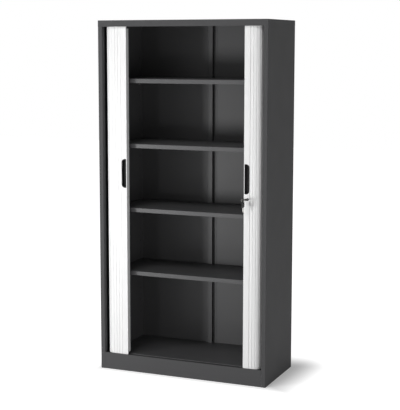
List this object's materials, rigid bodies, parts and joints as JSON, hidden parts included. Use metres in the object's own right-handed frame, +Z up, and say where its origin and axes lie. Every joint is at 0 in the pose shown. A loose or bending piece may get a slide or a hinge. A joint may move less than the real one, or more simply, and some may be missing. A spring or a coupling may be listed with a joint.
{
  "type": "tambour door cabinet",
  "caption": "Tall sheet-steel cabinet with side-opening tambour curtains round shelves on clips, and a cam lock.",
  "frame": {"origin": "on the floor at the middle of the plinth's front face", "axes": "+X to the right seen from the front, +Y towards the rear, +Z up"},
  "size_m": [1, 0.4919, 1.98],
  "materials": {
    "black_plastic": "satin",
    "chrome": "polished",
    "curtain": "satin",
    "grey_paint": "fine powder coat",
    "grey_shelf_paint": "fine powder coat",
    "key_metal": "nickel plated",
    "post": "lacquered light grey",
    "steel": "plain"
  },
  "bodies": {
    "cabinet": {"top_cover": "grey_paint", "left_side_panel": "grey_paint", "right_side_panel": "grey_paint", "plinth": "grey_paint", "rear_base_rail": "grey_paint", "base_pan": "grey_paint", "top_pan": "grey_paint", "floor_pan": "grey_paint", "ceiling_pan": "grey_paint", "left_liner": "grey_paint", "right_liner": "grey_paint", "left_back_panel": "grey_paint", "right_back_panel": "grey_paint", "back_spine": "grey_paint", "back_rivets": "steel", "shelf_clips": "steel", "left_bottom_track": "black_plastic", "right_bottom_track": "black_plastic", "left_top_track": "black_plastic", "right_top_track": "black_plastic", "foot_brackets": "steel", "levelling_feet": "black_plastic", "shelf_1": "grey_shelf_paint", "shelf_2": "grey_shelf_paint", "shelf_3": "grey_shelf_paint", "shelf_4": "grey_shelf_paint"},
    "left_door": {"left_lead_post": "post", "left_finger_cup": "black_plastic", "left_front_slats": "curtain", "lock_strike": "steel"},
    "left_corner_slat_1": {"left_corner_slat_1": "curtain"},
    "left_corner_slat_2": {"left_corner_slat_2": "curtain"},
    "left_corner_slat_3": {"left_corner_slat_3": "curtain"},
    "left_corner_slat_4": {"left_corner_slat_4": "curtain"},
    "left_side_slats": {"left_side_slats": "curtain"},
    "left_tail_slat_1": {"left_tail_slat_1": "curtain"},
    "left_tail_slat_2": {"left_tail_slat_2": "curtain"},
    "left_tail_slat_3": {"left_tail_slat_3": "curtain"},
    "left_tail_slat_4": {"left_tail_slat_4": "curtain"},
    "right_door": {"right_lead_post": "post", "right_finger_cup": "black_plastic", "right_front_slats": "curtain", "lock_barrel": "chrome", "lock_nut": "steel"},
    "right_corner_slat_1": {"right_corner_slat_1": "curtain"},
    "right_corner_slat_2": {"right_corner_slat_2": "curtain"},
    "right_corner_slat_3": {"right_corner_slat_3": "curtain"},
    "right_corner_slat_4": {"right_corner_slat_4": "curtain"},
    "right_side_slats": {"right_side_slats": "curtain"},
    "right_tail_slat_1": {"right_tail_slat_1": "curtain"},
    "right_tail_slat_2": {"right_tail_slat_2": "curtain"},
    "right_tail_slat_3": {"right_tail_slat_3": "curtain"},
    "right_tail_slat_4": {"right_tail_slat_4": "curtain"},
    "lock": {"lock_core": "chrome", "lock_cam": "steel", "key": "key_metal"},
    "ring": {"key_ring": "key_metal"},
    "spare": {"spare_key": "key_metal"}
  },
  "joints": [
    {"name": "left_door_slide", "type": "slide", "parent": "cabinet", "child": "left_door", "axis": [1, 0, 0], "range_m": [0, 0.3306], "deforming": ["left_corner_slat_1", "left_corner_slat_2", "left_corner_slat_3", "left_corner_slat_4", "left_side_slats", "left_tail_slat_1", "left_tail_slat_2", "left_tail_slat_3", "left_tail_slat_4"]},
    {"name": "left_corner_slat_1_turn", "type": "hinge", "parent": "cabinet", "child": "left_corner_slat_1", "pos_m": [-0.25411, 1.69132, 0], "axis": [0, 0, 1], "range_deg": [0, 11.25]},
    {"name": "left_corner_slat_2_turn", "type": "hinge", "parent": "cabinet", "child": "left_corner_slat_2", "pos_m": [-0.26574, 0.55907, 0], "axis": [0, 0, 1], "range_deg": [0, 33.75]},
    {"name": "left_corner_slat_3_turn", "type": "hinge", "parent": "cabinet", "child": "left_corner_slat_3", "pos_m": [-0.27505, 0.32573, 0], "axis": [0, 0, 1], "range_deg": [0, 56.25]},
    {"name": "left_corner_slat_4_turn", "type": "hinge", "parent": "cabinet", "child": "left_corner_slat_4", "pos_m": [-0.28403, 0.22148, 0], "axis": [0, 0, 1], "range_deg": [0, 78.75]},
    {"name": "left_side_slats_turn", "type": "hinge", "parent": "cabinet", "child": "left_side_slats", "pos_m": [-0.28891, 0.18809, 0], "axis": [0, 0, 1], "range_deg": [0, 90]},
    {"name": "left_tail_slat_1_turn", "type": "hinge", "parent": "cabinet", "child": "left_tail_slat_1", "pos_m": [-0.25552, 0.19297, 0], "axis": [0, 0, 1], "range_deg": [0, 78.75]},
    {"name": "left_tail_slat_2_turn", "type": "hinge", "parent": "cabinet", "child": "left_tail_slat_2", "pos_m": [-0.15127, 0.20195, 0], "axis": [0, 0, 1], "range_deg": [0, 56.25]},
    {"name": "left_tail_slat_3_turn", "type": "hinge", "parent": "cabinet", "child": "left_tail_slat_3", "pos_m": [0.08207, 0.21126, 0], "axis": [0, 0, 1], "range_deg": [0, 33.75]},
    {"name": "left_tail_slat_4_turn", "type": "hinge", "parent": "cabinet", "child": "left_tail_slat_4", "pos_m": [1.21432, 0.22289, 0], "axis": [0, 0, 1], "range_deg": [0, 11.25]},
    {"name": "right_door_slide", "type": "slide", "parent": "cabinet", "child": "right_door", "axis": [-1, 0, 0], "range_m": [0, 0.3654], "deforming": ["right_corner_slat_1", "right_corner_slat_2", "right_corner_slat_3", "right_corner_slat_4", "right_side_slats", "right_tail_slat_1", "right_tail_slat_2", "right_tail_slat_3", "right_tail_slat_4"]},
    {"name": "right_corner_slat_1_turn", "type": "hinge", "parent": "cabinet", "child": "right_corner_slat_1", "pos_m": [0.23671, 1.86798, 0], "axis": [0, 0, 1], "range_deg": [-11.25, 0]},
    {"name": "right_corner_slat_2_turn", "type": "hinge", "parent": "cabinet", "child": "right_corner_slat_2", "pos_m": [0.24834, 0.61643, 0], "axis": [0, 0, 1], "range_deg": [-33.75, 0]},
    {"name": "right_corner_slat_3_turn", "type": "hinge", "parent": "cabinet", "child": "right_corner_slat_3", "pos_m": [0.25765, 0.35828, 0], "axis": [0, 0, 1], "range_deg": [-56.25, 0]},
    {"name": "right_corner_slat_4_turn", "type": "hinge", "parent": "cabinet", "child": "right_corner_slat_4", "pos_m": [0.26663, 0.24268, 0], "axis": [0, 0, 1], "range_deg": [-78.75, 0]},
    {"name": "right_side_slats_turn", "type": "hinge", "parent": "cabinet", "child": "right_side_slats", "pos_m": [0.27151, 0.20549, 0], "axis": [0, 0, 1], "range_deg": [-90, 0]},
    {"name": "right_tail_slat_1_turn", "type": "hinge", "parent": "cabinet", "child": "right_tail_slat_1", "pos_m": [0.23432, 0.21037, 0], "axis": [0, 0, 1], "range_deg": [-78.75, 0]},
    {"name": "right_tail_slat_2_turn", "type": "hinge", "parent": "cabinet", "child": "right_tail_slat_2", "pos_m": [0.11872, 0.21935, 0], "axis": [0, 0, 1], "range_deg": [-56.25, 0]},
    {"name": "right_tail_slat_3_turn", "type": "hinge", "parent": "cabinet", "child": "right_tail_slat_3", "pos_m": [-0.13943, 0.22866, 0], "axis": [0, 0, 1], "range_deg": [-33.75, 0]},
    {"name": "right_tail_slat_4_turn", "type": "hinge", "parent": "cabinet", "child": "right_tail_slat_4", "pos_m": [-1.39098, 0.24029, 0], "axis": [0, 0, 1], "range_deg": [-11.25, 0]},
    {"name": "key_turn", "type": "hinge", "parent": "right_door", "child": "lock", "pos_m": [0.3881, 0.0085, 1.026], "axis": [0, 1, 0], "range_deg": [0, 90]},
    {"name": "key_ring_swing", "type": "hinge", "parent": "lock", "child": "ring", "pos_m": [0.3759, -0.0279, 1.029], "axis": [0, 1, 0], "range_deg": [-4, 4]},
    {"name": "spare_key_swing", "type": "hinge", "parent": "ring", "child": "spare", "pos_m": [0.3759, -0.0279, 1.0123], "axis": [1, 0, 0], "range_deg": [-40, 15]}
  ],
  "couplings": [
    {"joint": "left_corner_slat_1_turn", "follows": "left_door_slide", "rad_per_m": 0.59392},
    {"joint": "left_corner_slat_2_turn", "follows": "left_door_slide", "rad_per_m": 1.7818},
    {"joint": "left_corner_slat_3_turn", "follows": "left_door_slide", "rad_per_m": 2.9696},
    {"joint": "left_corner_slat_4_turn", "follows": "left_door_slide", "rad_per_m": 4.1574},
    {"joint": "left_side_slats_turn", "follows": "left_door_slide", "rad_per_m": 4.7514},
    {"joint": "left_tail_slat_1_turn", "follows": "left_door_slide", "rad_per_m": 4.1574},
    {"joint": "left_tail_slat_2_turn", "follows": "left_door_slide", "rad_per_m": 2.9696},
    {"joint": "left_tail_slat_3_turn", "follows": "left_door_slide", "rad_per_m": 1.7818},
    {"joint": "left_tail_slat_4_turn", "follows": "left_door_slide", "rad_per_m": 0.59392},
    {"joint": "right_corner_slat_1_turn", "follows": "right_door_slide", "rad_per_m": -0.53736},
    {"joint": "right_corner_slat_2_turn", "follows": "right_door_slide", "rad_per_m": -1.6121},
    {"joint": "right_corner_slat_3_turn", "follows": "right_door_slide", "rad_per_m": -2.6868},
    {"joint": "right_corner_slat_4_turn", "follows": "right_door_slide", "rad_per_m": -3.7615},
    {"joint": "right_side_slats_turn", "follows": "right_door_slide", "rad_per_m": -4.2988},
    {"joint": "right_tail_slat_1_turn", "follows": "right_door_slide", "rad_per_m": -3.7615},
    {"joint": "right_tail_slat_2_turn", "follows": "right_door_slide", "rad_per_m": -2.6868},
    {"joint": "right_tail_slat_3_turn", "follows": "right_door_slide", "rad_per_m": -1.6121},
    {"joint": "right_tail_slat_4_turn", "follows": "right_door_slide", "rad_per_m": -0.53736}
  ]
}
